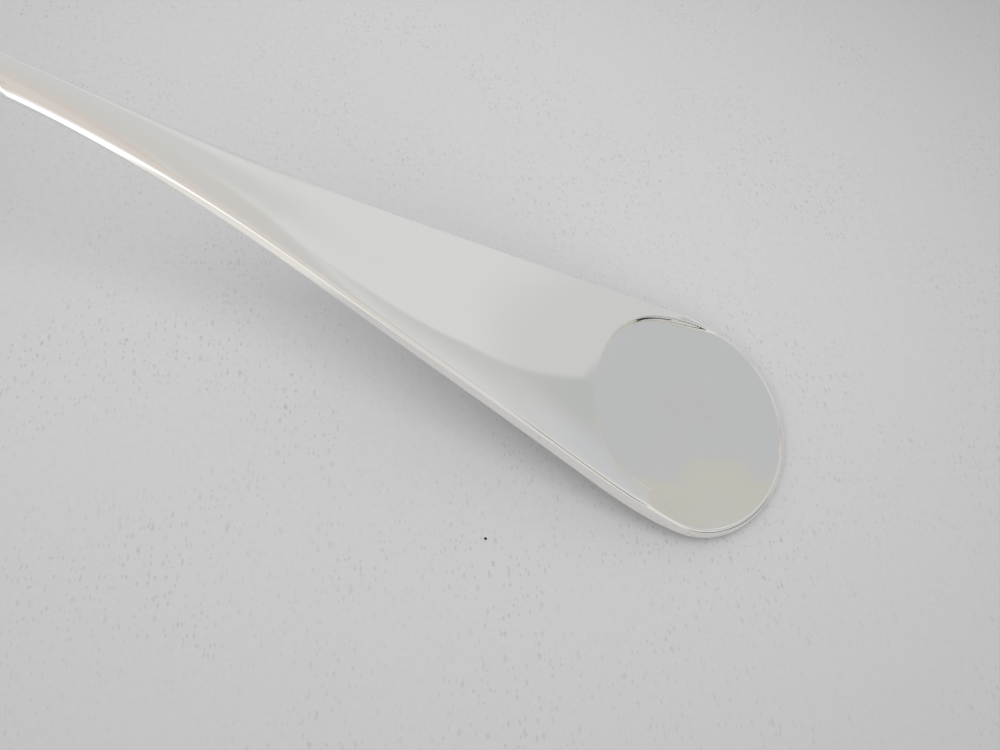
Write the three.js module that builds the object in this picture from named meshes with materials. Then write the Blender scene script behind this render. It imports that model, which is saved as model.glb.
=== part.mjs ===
import * as THREE from 'three';

// Cheese scoop in solid silver: a forged handle, a raised trough blade and the heel drop between them.
// Millimetres, +Z up, +X from the blade to the handle's tip. The blade's flat strip rests on z = 0.

// Handle in plan: full widths, at distances from the tip measured along the handle
const LOBE_WIDTH = 24.3;
const LOBE_WIDEST_AT = 9;
const SHOULDER_WIDTH = 21.7;
const SHOULDER_AT = 18.5;
const FLARE_WIDTH = 14.1;
const FLARE_AT = 37;
const NECK_WIDTH = 7.1;
const NECK_AT = 55;
const STEM_WIDTH = 3.6;
const STEM_AT = 84;
const HEEL_WIDTH = 8;

// Handle from the side: rise of its middle surface over its tip, at level distances from the tip
const TIP_SLOPE = 0.1;
const LOBE_X = 10;
const LOBE_RISE = 1.6;
const LOBE_END_X = 21.5;
const LOBE_END_RISE = 5.5;
const CLIMB_LOW_X = 42;
const CLIMB_LOW_RISE = 12.8;
const CLIMB_HIGH_X = 62;
const CLIMB_HIGH_RISE = 19.8;
const ARCH_X = 87;
const ARCH_RISE = 24.7;
const FALL_X = 111;
const FALL_RISE = 20.1;
const HEEL_RISE = 11.25;
const HANDLE_RUN = 132;

// Handle thicknesses, at the edge and along the middle
const LOBE_EDGE = 1.15;
const FLARE_EDGE = 1.35;
const STEM_EDGE = 1.8;
const LOBE_THICK = 1.4;
const FLARE_THICK = 2.4;
const STEM_THICK = 3.3;
const SCARF_THICK = 1.3;
const SCARF_LENGTH = 22;
const HANDLE_CHAMFER = 0.35;
// Share of the crown's thickness that lies above the middle surface
const CROWN_ABOVE = 0.65;

// The disc at the handle's end: a hollow with a wall along its bowed crease
const DISC_LENGTH = 19.9;
const DISC_CORNER_AT = 12.7;
const DISC_DEPTH = 0.45;
const DISC_DISH = 0.2;
const DISC_MARGIN = 0.9;
const DISC_WALL_RUN = 0.25;
const CREASE_BOW_FADE = 26;

// Blade: a half-round trough with a rounded nose and a rising heel
const BLADE_LENGTH = 97;
const BLADE_WIDTH = 29;
const BLADE_DEPTH = 11.5;
const BLADE_WALL = 1.2;
const BLADE_FLAT = 5;
const BLADE_ARC = 78 * Math.PI / 180;
const NOSE_LENGTH = 24;
const HEEL_LENGTH = 31;
const HEEL_DISH = 0.55;
const SHOULDER_FULLNESS = 1.5;
const RIM_CHAMFER = 0.3;

// Heel drop: the soldered reinforcement under the joint
const DROP_WIDTH = 5.2;
const DROP_ON_BLADE = 19;
const DROP_ON_STEM = 15;
const DROP_THICK = 1.7;
const DROP_TIP_THICK = 0.6;
const DROP_END_WIDTH = 2.2;
const DROP_CHAMFER = 0.25;

// Solder gaps between the pieces
const JOINT_GAP = 0.3;
const DROP_GAP = 0.3;

// Mesh fineness
const HANDLE_COLUMNS = 14;
const DISC_ROWS = 12;
const STEM_ROWS = 44;
const BLADE_COLUMNS = 9;
const NOSE_ROWS = 9;
const TROUGH_ROWS = 4;
const HEEL_ROWS = 16;
const DROP_COLUMNS = 6;
const DROP_ROWS = 16;

// Cubic spline through points [x, y] with both end slopes given; smooth to the second derivative
function spline(points, startSlope, endSlope) {
  const n = points.length;
  const step = [];
  for (let i = 0; i < n - 1; i += 1) step.push(points[i + 1][0] - points[i][0]);
  const rise = step.map((h, i) => (points[i + 1][1] - points[i][1]) / h);
  const diagonal = [1];
  const right = [startSlope];
  const above = [0];
  for (let i = 1; i < n - 1; i += 1) {
    const low = step[i];
    const pivot = 2 * (step[i - 1] + step[i]) - low * above[i - 1] / diagonal[i - 1];
    diagonal.push(pivot);
    above.push(step[i - 1]);
    right.push(3 * (step[i] * rise[i - 1] + step[i - 1] * rise[i]) - low * right[i - 1] / diagonal[i - 1]);
  }
  const slope = new Array(n).fill(endSlope);
  for (let i = n - 2; i >= 0; i -= 1) slope[i] = (right[i] - above[i] * slope[i + 1]) / diagonal[i];
  return (x) => {
    let i = 0;
    while (i < n - 2 && x > points[i + 1][0]) i += 1;
    const t = (x - points[i][0]) / step[i];
    const flat = t * t * (3 - 2 * t);
    const into = t * (1 - t) * (1 - t) * slope[i];
    const out = t * t * (1 - t) * slope[i + 1];
    return points[i][1] * (1 - flat) + points[i + 1][1] * flat + step[i] * (into - out);
  };
}

function smooth(t) {
  const c = THREE.MathUtils.clamp(t, 0, 1);
  return c * c * (3 - 2 * c);
}

// Handle: its middle line, seen from the side, as a table over the arc length
const heelFall = (HEEL_RISE - FALL_RISE) / (HANDLE_RUN - FALL_X);
const sideRise = spline([
  [0, 0],
  [LOBE_X, LOBE_RISE],
  [LOBE_END_X, LOBE_END_RISE],
  [CLIMB_LOW_X, CLIMB_LOW_RISE],
  [CLIMB_HIGH_X, CLIMB_HIGH_RISE],
  [ARCH_X, ARCH_RISE],
  [FALL_X, FALL_RISE],
  [HANDLE_RUN, HEEL_RISE],
], TIP_SLOPE, heelFall);
// The underside of the tip touches z = 0
const SIDE_STEPS = 600;
const bellyUnderLobe = LOBE_EDGE / 2 + (LOBE_THICK - LOBE_EDGE) * (1 - CROWN_ABOVE);
const sideHeight = (x) => sideRise(x) + bellyUnderLobe - TIP_SLOPE * HANDLE_CHAMFER;
const side = [{ x: 0, z: sideHeight(0), s: 0 }];
for (let i = 1; i <= SIDE_STEPS; i += 1) {
  const x = HANDLE_RUN * i / SIDE_STEPS;
  const z = sideHeight(x);
  const last = side[i - 1];
  side.push({ x, z, s: last.s + Math.hypot(x - last.x, z - last.z) });
}
const handleLength = side[SIDE_STEPS].s;

// Place and upright direction of the middle line at arc length s
function sideFrame(s) {
  let low = 0;
  let high = SIDE_STEPS;
  while (high - low > 1) {
    const middle = (low + high) >> 1;
    if (side[middle].s > s) high = middle;
    else low = middle;
  }
  const t = (s - side[low].s) / (side[high].s - side[low].s);
  const x = THREE.MathUtils.lerp(side[low].x, side[high].x, t);
  const reach = 0.5;
  const from = Math.max(x - reach, 0);
  const to = Math.min(x + reach, HANDLE_RUN);
  const slope = (sideHeight(to) - sideHeight(from)) / (to - from);
  const length = Math.hypot(1, slope);
  return { x, z: sideHeight(x), nx: -slope / length, nz: 1 / length };
}

// The handle's tip lies at x = 0 here and its heel at negative x
function onHandle(s, y, height) {
  const at = sideFrame(s);
  return new THREE.Vector3(-(at.x + height * at.nx), y, at.z + height * at.nz);
}

// Handle in plan: an elliptical end, then a smooth flank down to the stem and out to the heel
const flank = spline([
  [LOBE_WIDEST_AT, LOBE_WIDTH / 2],
  [SHOULDER_AT, SHOULDER_WIDTH / 2],
  [FLARE_AT, FLARE_WIDTH / 2],
  [NECK_AT, NECK_WIDTH / 2],
  [STEM_AT, STEM_WIDTH / 2],
  [handleLength, HEEL_WIDTH / 2],
], 0, 0);
function halfWidth(s) {
  if (s >= LOBE_WIDEST_AT) return flank(s);
  const left = 1 - s / LOBE_WIDEST_AT;
  return LOBE_WIDTH / 2 * Math.sqrt(Math.max(1 - left * left, 0));
}

// Outline point at station s, and the same point moved inward by the chamfer
function outline(s) {
  const width = halfWidth(s);
  const reach = 0.02;
  const slope = s < reach ? Infinity : (halfWidth(s + reach) - halfWidth(s - reach)) / (2 * reach);
  const length = Math.hypot(1, slope);
  const outS = s < reach ? -1 : -slope / length;
  const outY = s < reach ? 0 : 1 / length;
  return {
    s,
    y: width,
    insetS: s - HANDLE_CHAMFER * outS,
    insetY: Math.max(width - HANDLE_CHAMFER * outY, 0),
  };
}

const scarfFrom = handleLength - SCARF_LENGTH;
const edgeThickness = spline([
  [0, LOBE_EDGE],
  [DISC_LENGTH, LOBE_EDGE],
  [FLARE_AT, FLARE_EDGE],
  [STEM_AT, STEM_EDGE],
  [scarfFrom, STEM_EDGE],
  [handleLength, SCARF_THICK * 0.75],
], 0, 0);
const midThickness = spline([
  [0, LOBE_THICK],
  [DISC_LENGTH, LOBE_THICK],
  [FLARE_AT, FLARE_THICK],
  [STEM_AT, STEM_THICK],
  [scarfFrom, STEM_THICK],
  [handleLength, SCARF_THICK],
], 0, 0);

// Heights over the middle surface at station s and at the share u of the half width
function stemTop(s, u) {
  const edge = edgeThickness(s);
  const crown = (midThickness(s) - edge) * CROWN_ABOVE;
  const discEdge = DISC_DEPTH * (1 - smooth((s - DISC_LENGTH) / CREASE_BOW_FADE));
  return edge / 2 + crown * (1 - u * u) + discEdge;
}
function handleBottom(s, u) {
  const edge = edgeThickness(s);
  const crown = (midThickness(s) - edge) * (1 - CROWN_ABOVE);
  return -(edge / 2 + crown * (1 - u * u));
}
function discTop(s, u, edgeStation) {
  const marginShare = DISC_MARGIN / Math.max(halfWidth(edgeStation), DISC_MARGIN);
  const margin = THREE.MathUtils.clamp((Math.abs(u) - 1) / marginShare + 1, 0, 1);
  const fade = smooth((edgeStation - DISC_CORNER_AT * 0.6) / (DISC_CORNER_AT * 0.4));
  const floor = LOBE_EDGE / 2 - DISC_DISH * (1 - u * u) * smooth(s / DISC_LENGTH);
  return floor + margin * fade * (stemTop(s, u) - floor);
}

// Bow of the crease between its middle and its corners
function bow(u) {
  return 0.5 * u * u + 0.5 * u ** 4;
}

// One row of a plate across the handle; the middle of the row lies nearer the heel than its ends
function handleRow(middle, edgeStation, onDisc) {
  const edge = outline(edgeStation);
  const row = { upper: [], lower: [], rimUpper: [], rimLower: [] };
  const columns = edgeStation === 0 ? 0 : HANDLE_COLUMNS;
  const marginAt = 1 - DISC_MARGIN / LOBE_WIDTH * 2;
  for (let j = 0; j <= columns; j += 1) {
    const even = columns === 0 ? 0 : 2 * j / columns - 1;
    // the second columns from the edges follow the disc's margin
    const second = columns > 0 && (j === 1 || j === columns - 1);
    const u = second ? Math.sign(even) * marginAt : even * (Math.abs(even) < 1 ? marginAt : 1);
    const s = columns === 0 ? edge.insetS : middle + (edge.insetS - middle) * bow(u);
    const y = columns === 0 ? 0 : u * edge.insetY;
    const top = onDisc ? discTop(s, u, edgeStation) : stemTop(s, u);
    row.upper.push(onHandle(s, y, top));
    row.lower.push(onHandle(s, y, handleBottom(s, u)));
  }
  const sides = columns === 0 ? [0] : [-1, 1];
  for (const sign of sides) {
    const top = onDisc ? discTop(edge.s, 1, edgeStation) : stemTop(edge.s, 1);
    row.rimUpper.push(onHandle(edge.s, sign * edge.y, top - HANDLE_CHAMFER));
    row.rimLower.push(onHandle(edge.s, sign * edge.y, handleBottom(edge.s, 1) + HANDLE_CHAMFER));
  }
  return row;
}

// Closed body of rows that start at one point and end in a flat cap
function plate(rows) {
  const positions = [];
  const triangles = [];
  const put = (point) => positions.push(point.x, point.y, point.z) / 3 - 1;
  const quad = (a, b, c, d) => {
    if (a !== b && b !== c && a !== c) triangles.push(a, b, c);
    if (a !== c && c !== d && a !== d) triangles.push(a, c, d);
  };
  const index = rows.map((row) => ({
    upper: row.upper.map(put),
    lower: row.lower.map(put),
    rimUpper: row.rimUpper.map(put),
    rimLower: row.rimLower.map(put),
  }));
  const last = index[index.length - 1];
  const count = last.upper.length;
  const pick = (list, i) => list[list.length === 1 ? 0 : i];
  for (let k = 0; k < index.length - 1; k += 1) {
    const a = index[k];
    const b = index[k + 1];
    for (let j = 0; j < count - 1; j += 1) {
      quad(pick(a.upper, j), pick(a.upper, j + 1), b.upper[j + 1], b.upper[j]);
      quad(pick(a.lower, j + 1), pick(a.lower, j), b.lower[j], b.lower[j + 1]);
    }
    for (const right of [false, true]) {
      const j = right ? count - 1 : 0;
      const e = right ? 1 : 0;
      const low = [pick(a.upper, j), pick(a.rimUpper, e), pick(a.rimLower, e), pick(a.lower, j)];
      const high = [b.upper[j], b.rimUpper[e], b.rimLower[e], b.lower[j]];
      for (let i = 0; i < 3; i += 1) {
        if (right) quad(low[i], low[i + 1], high[i + 1], high[i]);
        else quad(low[i + 1], low[i], high[i], high[i + 1]);
      }
    }
  }
  for (let j = 0; j < count - 1; j += 1) {
    quad(last.upper[j], last.upper[j + 1], last.lower[j + 1], last.lower[j]);
  }
  quad(last.upper[0], last.lower[0], last.rimLower[0], last.rimUpper[0]);
  quad(last.upper[count - 1], last.rimUpper[1], last.rimLower[1], last.lower[count - 1]);
  const geometry = new THREE.BufferGeometry();
  geometry.setAttribute('position', new THREE.Float32BufferAttribute(positions, 3));
  if (signedVolume(positions, triangles) < 0) triangles.reverse();
  geometry.setIndex(triangles);
  geometry.computeVertexNormals();
  return geometry;
}

function signedVolume(positions, triangles) {
  const a = new THREE.Vector3();
  const b = new THREE.Vector3();
  const c = new THREE.Vector3();
  let sum = 0;
  for (let i = 0; i < triangles.length; i += 3) {
    a.fromArray(positions, 3 * triangles[i]);
    b.fromArray(positions, 3 * triangles[i + 1]);
    c.fromArray(positions, 3 * triangles[i + 2]);
    sum += a.dot(b.cross(c)) / 6;
  }
  return sum;
}

const handleRows = [handleRow(0, 0, true)];
for (let k = 1; k <= DISC_ROWS; k += 1) {
  const t = k / DISC_ROWS;
  const start = outline(0).insetS;
  handleRows.push(handleRow(start + (DISC_LENGTH - start) * t, DISC_CORNER_AT * t * t, true));
}
const crease = DISC_LENGTH - DISC_CORNER_AT;
for (let k = 0; k <= STEM_ROWS; k += 1) {
  const from = DISC_LENGTH + DISC_WALL_RUN;
  const middle = from + (handleLength - from) * k / STEM_ROWS;
  const bowed = crease * (1 - smooth((middle - from) / CREASE_BOW_FADE));
  handleRows.push(handleRow(middle, middle - bowed, false));
}
const handleGeometry = plate(handleRows);

// Blade: its heel end lies against the handle's heel end, across the joint's gap
const heelSlope = -(sideHeight(HANDLE_RUN) - sideHeight(HANDLE_RUN - 1));
const heelCos = 1 / Math.hypot(1, heelSlope);
const heelSin = heelSlope * heelCos;
const heelX = -HANDLE_RUN - JOINT_GAP * heelCos + BLADE_WALL / 2 * heelSin;
const heelZ = sideHeight(HANDLE_RUN) - JOINT_GAP * heelSin - BLADE_WALL / 2 * heelCos;
const noseX = heelX - BLADE_LENGTH;
const heelFrom = BLADE_LENGTH - HEEL_LENGTH;

// Underside height, rim height over it and half width at station a from the nose
function bladeSection(a) {
  const t = THREE.MathUtils.clamp((a - heelFrom) / HEEL_LENGTH, 0, 1);
  const endSlope = heelSlope * HEEL_LENGTH;
  const bottom = heelZ * t * t * (3 - 2 * t) - endSlope * t * t * (1 - t);
  const depth = THREE.MathUtils.lerp(BLADE_DEPTH, HEEL_DISH, smooth(t));
  const shoulder = smooth(t ** SHOULDER_FULLNESS);
  const half = THREE.MathUtils.lerp(BLADE_WIDTH / 2, HEEL_WIDTH / 2, shoulder);
  return { bottom, depth, half };
}

// Point of the blade's outer surface; share 0 is the middle, 1 the rim, and flatShare the flat's edge
const flatHalf = BLADE_FLAT / 2;
const arcLength = (BLADE_WIDTH / 2 - flatHalf + BLADE_DEPTH) / 2 * Math.PI / 2;
const flatShare = flatHalf / (flatHalf + arcLength);
function bladeOuter(a, share) {
  const section = bladeSection(a);
  const size = Math.abs(share);
  const angle = Math.max(size - flatShare, 0) / (1 - flatShare) * BLADE_ARC;
  const flatPart = Math.min(size / flatShare, 1) * flatHalf;
  const y = flatPart + (section.half - flatHalf) * Math.sin(angle) / Math.sin(BLADE_ARC);
  const z = section.bottom + section.depth * (1 - Math.cos(angle)) / (1 - Math.cos(BLADE_ARC));
  return new THREE.Vector3(noseX + a, Math.sign(share) * y, z);
}

// Outward direction of the blade's outer surface
function bladeOutward(a, share) {
  const reach = 0.01;
  const from = Math.max(a - reach, 0);
  const to = Math.min(a + reach, BLADE_LENGTH);
  const along = bladeOuter(to, share).sub(bladeOuter(from, share));
  const across = bladeOuter(a, share + reach).sub(bladeOuter(a, share - reach));
  return across.cross(along).normalize();
}

function bladeRow(a, rimShare) {
  const row = { upper: [], lower: [], rimUpper: [], rimLower: [] };
  const columns = rimShare === 0 ? 0 : BLADE_COLUMNS;
  for (let j = -columns; j <= columns; j += 1) {
    const step = Math.abs(j);
    const plain = step === 0 ? 0 : flatShare + (1 - flatShare) * (step - 1) / (BLADE_COLUMNS - 1);
    const share = Math.sign(j) * plain * rimShare;
    const outer = bladeOuter(a, share);
    const outward = bladeOutward(a, share);
    row.lower.push(outer);
    row.upper.push(outer.clone().addScaledVector(outward, -BLADE_WALL));
  }
  const ends = columns === 0 ? [0] : [0, row.lower.length - 1];
  for (const end of ends) {
    const outer = row.lower[end];
    const inner = row.upper[end];
    const outward = inner.clone().sub(outer).normalize();
    const rim = rimDirection(a, rimShare, end === 0 ? -1 : 1);
    row.rimLower.push(outer.clone().addScaledVector(outward, RIM_CHAMFER).addScaledVector(rim, RIM_CHAMFER));
    row.rimUpper.push(inner.clone().addScaledVector(outward, -RIM_CHAMFER).addScaledVector(rim, RIM_CHAMFER));
  }
  return row;
}

// Share of the section that the sheet reaches at station a, for its rounded nose
function noseShare(a) {
  const left = 1 - a / NOSE_LENGTH;
  return a >= NOSE_LENGTH ? 1 : Math.sqrt(Math.max(1 - left * left, 0));
}

// Direction out of the sheet's edge, within the sheet
function rimDirection(a, rimShare, sign) {
  if (rimShare === 0) return new THREE.Vector3(-1, 0, 0);
  const reach = 0.02;
  const from = Math.max(a - reach, 0);
  const to = Math.min(a + reach, BLADE_LENGTH);
  const along = bladeOuter(to, sign * noseShare(to)).sub(bladeOuter(from, sign * noseShare(from)));
  const outward = bladeOutward(a, sign * rimShare);
  return along.cross(outward).normalize().multiplyScalar(sign);
}

const bladeRows = [bladeRow(0, 0)];
for (let k = 1; k <= NOSE_ROWS; k += 1) {
  const a = NOSE_LENGTH * (1 - Math.cos(Math.PI / 2 * k / NOSE_ROWS));
  bladeRows.push(bladeRow(a, noseShare(a)));
}
for (let k = 1; k <= TROUGH_ROWS; k += 1) {
  bladeRows.push(bladeRow(NOSE_LENGTH + (heelFrom - NOSE_LENGTH) * k / TROUGH_ROWS, 1));
}
for (let k = 1; k <= HEEL_ROWS; k += 1) {
  bladeRows.push(bladeRow(heelFrom + HEEL_LENGTH * k / HEEL_ROWS, 1));
}
const bladeGeometry = plate(bladeRows);

// Heel drop: follows the underside of the blade's heel and of the stem, one solder gap below them
function hostUnderside(l, y) {
  if (l <= 0) {
    const a = BLADE_LENGTH + l;
    const reach = 0.5;
    const rise = bladeSection(a).bottom - bladeSection(a - reach).bottom;
    const length = Math.hypot(rise, reach);
    const section = bladeSection(a);
    return {
      point: new THREE.Vector3(noseX + a, y, section.bottom),
      down: new THREE.Vector3(rise / length, 0, -reach / length),
    };
  }
  const s = handleLength - Math.max(l - JOINT_GAP, 0);
  const at = sideFrame(s);
  return {
    point: onHandle(s, y, handleBottom(s, 0)),
    down: new THREE.Vector3(at.nx, 0, -at.nz),
  };
}

function dropRow(t) {
  const length = DROP_ON_BLADE + DROP_ON_STEM;
  const l = -DROP_ON_BLADE + length * t;
  const row = { upper: [], lower: [], rimUpper: [], rimLower: [] };
  const columns = t === 0 ? 0 : DROP_COLUMNS;
  const left = 1 - t;
  const half = DROP_WIDTH / 2 * Math.sqrt(1 - left ** 4) - (DROP_WIDTH - DROP_END_WIDTH) / 2 * t ** 5;
  const swell = Math.sin(Math.PI * t) ** 2;
  const thick = THREE.MathUtils.lerp(DROP_TIP_THICK, DROP_THICK, swell);
  for (let j = 0; j <= columns; j += 1) {
    const u = columns === 0 ? 0 : 2 * j / columns - 1;
    const host = hostUnderside(l, u * half);
    const crown = thick * (1 - 0.45 * u * u);
    row.upper.push(host.point.clone().addScaledVector(host.down, DROP_GAP));
    row.lower.push(host.point.clone().addScaledVector(host.down, DROP_GAP + crown));
  }
  const edgeThick = columns === 0 ? thick : thick * 0.55;
  for (const sign of columns === 0 ? [0] : [-1, 1]) {
    const host = hostUnderside(columns === 0 ? l - DROP_CHAMFER : l, sign * (half + DROP_CHAMFER));
    const upper = DROP_GAP + DROP_CHAMFER * 0.4;
    const lower = DROP_GAP + edgeThick - DROP_CHAMFER * 0.4;
    row.rimUpper.push(host.point.clone().addScaledVector(host.down, upper));
    row.rimLower.push(host.point.clone().addScaledVector(host.down, lower));
  }
  return row;
}

const dropRows = [];
for (let k = 0; k <= DROP_ROWS; k += 1) dropRows.push(dropRow((k / DROP_ROWS) ** 1.3));
const dropGeometry = plate(dropRows);

const polished = { color: 0xdadbd6, roughness: 0.12, metalness: 1 };
const inside = { color: 0xd6d7d2, roughness: 0.16, metalness: 1 };
const soldered = { color: 0xcfcfc8, roughness: 0.22, metalness: 1 };

const scoop = new THREE.Group();
const pieces = [
  ['handle', handleGeometry, polished],
  ['scoop_blade', bladeGeometry, inside],
  ['heel_drop', dropGeometry, soldered],
];
for (const [name, geometry, finish] of pieces) {
  const mesh = new THREE.Mesh(geometry, new THREE.MeshStandardMaterial(finish));
  mesh.name = name;
  scoop.add(mesh);
}

// The middle of the scoop's length lies at x = 0
const box = new THREE.Box3().setFromObject(scoop, true);
scoop.position.x = -(box.min.x + box.max.x) / 2;

export default scoop;
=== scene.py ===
import math

import bmesh
import bpy
import numpy as np
from mathutils import Matrix, Vector


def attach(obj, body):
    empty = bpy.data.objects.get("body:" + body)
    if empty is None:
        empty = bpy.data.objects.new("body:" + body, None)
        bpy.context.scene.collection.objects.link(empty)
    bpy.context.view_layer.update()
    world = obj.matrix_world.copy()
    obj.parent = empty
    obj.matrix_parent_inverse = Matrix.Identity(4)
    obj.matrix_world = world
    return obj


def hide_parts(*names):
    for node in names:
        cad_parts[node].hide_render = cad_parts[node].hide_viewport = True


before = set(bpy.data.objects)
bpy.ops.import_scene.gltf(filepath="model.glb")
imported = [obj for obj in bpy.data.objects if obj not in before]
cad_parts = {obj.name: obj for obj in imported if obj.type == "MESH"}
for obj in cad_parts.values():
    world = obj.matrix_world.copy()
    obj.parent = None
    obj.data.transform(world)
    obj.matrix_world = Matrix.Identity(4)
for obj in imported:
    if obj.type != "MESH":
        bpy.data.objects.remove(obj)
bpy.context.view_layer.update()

# Polished silver cheese scoop. Sizes are in millimetres, as in the CAD part; the meshes are scaled
# to metres. A station is a distance from the handle's tip, measured along the handle. A share says
# where a point lies across a piece, from -1 at one edge to 1 at the other.
MM = 0.001
TIP_X = 114.6596

# Handle in plan: full widths and their stations
LOBE_WIDTH = 24.3
LOBE_WIDEST_AT = 9
SHOULDER_WIDTH = 21.7
SHOULDER_AT = 18.5
FLARE_WIDTH = 14.1
FLARE_AT = 37
NECK_WIDTH = 7.1
NECK_AT = 55
STEM_WIDTH = 3.6
STEM_AT = 84
HEEL_WIDTH = 8

# Handle from the side: level distance from the tip, rise of the middle surface
SIDE_POINTS = [
    (0, 0), (10, 1.6), (21.5, 5.5), (42, 12.8), (62, 19.8), (87, 24.7), (111, 20.1), (132, 11.25),
]
FALL_X, FALL_RISE = SIDE_POINTS[-2]
HANDLE_RUN, HEEL_RISE = SIDE_POINTS[-1]
TIP_SLOPE = 0.1
END_SLOPE = (HEEL_RISE - FALL_RISE) / (HANDLE_RUN - FALL_X)

# Thicknesses at the edge and along the middle
LOBE_EDGE = 1.15
FLARE_EDGE = 1.35
STEM_EDGE = 1.8
LOBE_THICK = 1.4
FLARE_THICK = 2.4
STEM_THICK = 3.3
SCARF_THICK = 1.3
SCARF_LENGTH = 22
EDGE_ROUND = 0.35
CROWN_ABOVE = 0.65

# The sunk disc, its bowed crease and the margins beside it
DISC_LENGTH = 19.9
DISC_CORNER_AT = 12.7
DISC_DEPTH = 0.55
DISC_DISH = 0.34
DEPTH_FADE = 33
CREASE_BOW = DISC_LENGTH - DISC_CORNER_AT
CREASE_BOW_FADE = 26
WALL_RUN = 0.24
CORNER_ROUND = 1.6
RIM_WIDTH = 0.38
FAR_MARGIN = 0.95
NEAR_MARGIN = 1.9
MARGIN_FROM = 7.5
SIDE_BLEND = 5
# Around the tip only a low rim stands, a share of the wall; on each side it grows to the full wall
FAR_RIM_SHARE = 0.26
NEAR_RIM_SHARE = 0.10
FAR_RISE_FROM = MARGIN_FROM
NEAR_RISE_FROM = 10.4
FAR_RISE_RUN = 5.2
NEAR_RISE_RUN = 2.3

# Blade
BLADE_LENGTH = 97
BLADE_WIDTH = 29
BLADE_DEPTH = 11.5
BLADE_WALL = 1.2
BLADE_FLAT = 5
BLADE_ARC = math.radians(78)
NOSE_LENGTH = 24
HEEL_LENGTH = 31
HEEL_DISH = 0.55
SHOULDER_FULLNESS = 1.5
RIM_REACH = 0.3
JOINT_GAP = 0.3
END_BLEND = 7

# Solder seam around the joint
SEAM_HALF_LENGTH = 0.62
SEAM_PROUD = 0.07
SEAM_SUNK = 0.02
SEAM_SIDE_POWER = 0.28
SEAM_TOP_POWER = 0.5

# Heel drop
DROP_WIDTH = 5.2
DROP_ON_BLADE = 19
DROP_ON_STEM = 15
DROP_THICK = 1.7
DROP_TIP_THICK = 0.6
DROP_END_WIDTH = 2.2
DROP_GAP = 0.3
DROP_CROWN = 0.42
DROP_CROWN_POWER = 2.2
DROP_SKIRT = 0.45
DROP_SKIRT_RUN = 2.2 * DROP_SKIRT
DROP_FOOT_SUNK = 0.04
DROP_TOP_SUNK = 0.25
DROP_TIP_SHARE = 0.012
DROP_END_SHARE = 0.02

# Fineness of the meshes
SIDE_STEPS = 2400
TOP_MIDDLE_COLUMNS = 46
TOP_SIDE_COLUMNS = 36
TOP_SPLIT = 0.78
BOTTOM_COLUMNS = 44
ARC_STEPS = 6
DISC_ROWS = 89
CREASE_ROWS_BEFORE = 0.9
CREASE_ROWS_BEYOND = 1.6
CREASE_ROW_STEP = 0.07
EDGE_PACE = 1.02
STEM_ROWS = 170
BLADE_COLUMNS = 84
RIM_STEPS = 8
NOSE_ROWS = 44
TROUGH_ROWS = 30
HEEL_ROWS = 75
SEAM_COLUMNS = 48
SEAM_ROWS = 12
DROP_COLUMNS = 40
DROP_ROWS = 120
DROP_ROW_POWER = 1.3

# Steps over which slopes are measured
FINE_STEP = 0.01
RIM_STEP = 0.02
FLANK_STEP = 0.05
SLOPE_STEP = 0.5
TINY = 1e-9


def spline(points, start, end):
    """Cubic spline through points with both end slopes given."""
    x, y = np.array(points, float).T
    n = len(x)
    h = np.diff(x)
    rise = np.diff(y) / h
    a = np.eye(n)
    right = np.zeros(n)
    right[0], right[-1] = start, end
    for i in range(1, n - 1):
        a[i, i - 1], a[i, i], a[i, i + 1] = h[i], 2 * (h[i - 1] + h[i]), h[i - 1]
        right[i] = 3 * (h[i] * rise[i - 1] + h[i - 1] * rise[i])
    m = np.linalg.solve(a, right)

    def at(v):
        v = np.asarray(v, float)
        i = np.clip(np.searchsorted(x, v) - 1, 0, n - 2)
        t = (v - x[i]) / h[i]
        flat = t * t * (3 - 2 * t)
        bend = t * (1 - t) ** 2 * m[i] - t * t * (1 - t) * m[i + 1]
        return y[i] * (1 - flat) + y[i + 1] * flat + h[i] * bend

    return at


def smooth(t):
    """Eased step from 0 to 1."""
    t = np.clip(t, 0, 1)
    return t * t * (3 - 2 * t)


def lerp(a, b, t):
    return a + (b - a) * t


# Handle, side view
side_rise = spline(SIDE_POINTS, TIP_SLOPE, END_SLOPE)
belly = LOBE_EDGE / 2 + (LOBE_THICK - LOBE_EDGE) * (1 - CROWN_ABOVE)
side_x = np.linspace(0, HANDLE_RUN, SIDE_STEPS + 1)


def side_height(x):
    return side_rise(x) + belly - TIP_SLOPE * EDGE_ROUND


side_z = side_height(side_x)
side_s = np.concatenate([[0], np.cumsum(np.hypot(np.diff(side_x), np.diff(side_z)))])
handle_length = side_s[-1]


def side_frame(s):
    """Place of the middle surface at station s, and its upward normal."""
    x = np.interp(s, side_s, side_x)
    low = np.maximum(x - SLOPE_STEP, 0)
    high = np.minimum(x + SLOPE_STEP, HANDLE_RUN)
    slope = (side_height(high) - side_height(low)) / (high - low)
    length = np.hypot(1, slope)
    return x, side_height(x), -slope / length, 1 / length


def on_handle(s, y, height):
    """Points at station s, y across and a height above the middle surface."""
    x, z, nx, nz = side_frame(s)
    s, y, height = np.broadcast_arrays(s, y, height)
    return np.stack([TIP_X - (x + height * nx), y, z + height * nz], -1)


# Handle, plan view
flank = spline([
    (LOBE_WIDEST_AT, LOBE_WIDTH / 2),
    (SHOULDER_AT, SHOULDER_WIDTH / 2),
    (FLARE_AT, FLARE_WIDTH / 2),
    (NECK_AT, NECK_WIDTH / 2),
    (STEM_AT, STEM_WIDTH / 2),
    (handle_length, HEEL_WIDTH / 2),
], 0, 0)


def half_width(s):
    if s >= LOBE_WIDEST_AT:
        return float(flank(s))
    left = 1 - s / LOBE_WIDEST_AT
    return LOBE_WIDTH / 2 * math.sqrt(max(1 - left * left, 0))


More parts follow.
